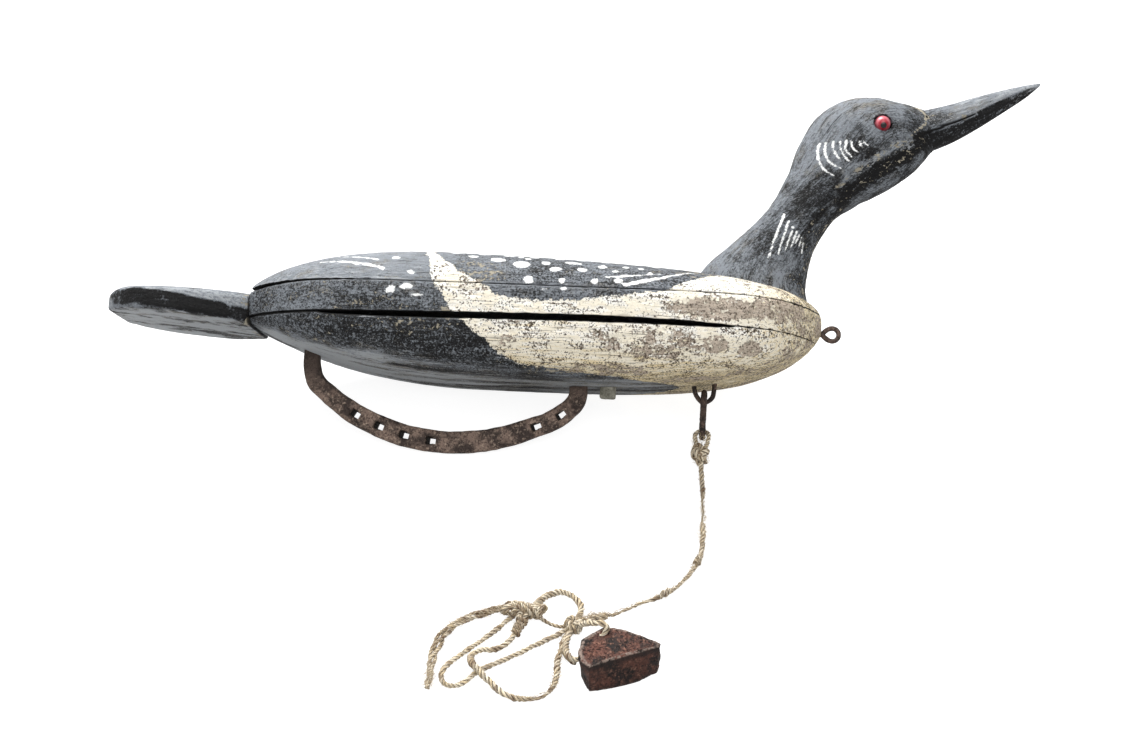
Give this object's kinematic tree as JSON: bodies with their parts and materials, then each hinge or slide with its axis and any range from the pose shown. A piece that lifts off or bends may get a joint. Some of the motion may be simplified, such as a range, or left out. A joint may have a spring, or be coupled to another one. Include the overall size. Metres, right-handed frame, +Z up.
{
  "type": "loon decoy",
  "caption": "Carved and painted wooden loon decoy lying on its side, with a horseshoe keel weight, a ring in the breast, and a hemp anchor line that runs to an iron weight.",
  "frame": {"origin": "on the floor, under the middle of the box around the lying decoy without its line and weight", "axes": "+X forward along the bird towards its beak, +Y level, towards the side its back faces, +Z up as it lies on its left side"},
  "size_m": [0.8018, 0.521, 0.2395],
  "materials": {
    "painted_wood": "weathered flat black and cream paint",
    "eye_glass": "glossy",
    "horseshoe_iron": "brown rust",
    "stud_iron": "dull grey",
    "dark_iron": "dark rust",
    "hemp": "rough twisted hemp",
    "weight_iron": "red rust"
  },
  "bodies": {
    "root": {"back_board": "painted_wood", "middle_board": "painted_wood", "belly_board": "painted_wood", "tail_paddle": "painted_wood", "neck_and_head": "painted_wood", "beak": "painted_wood", "eye_right": "eye_glass", "eye_left": "eye_glass", "horseshoe": "horseshoe_iron", "square_stud": "stud_iron", "belly_staple": "dark_iron", "breast_ring": "dark_iron", "staple_link": "dark_iron", "link_knot": "hemp", "anchor_line": "hemp", "weight_knot": "hemp", "spare_line": "hemp", "anchor_weight": "weight_iron"}
  },
  "joints": []
}
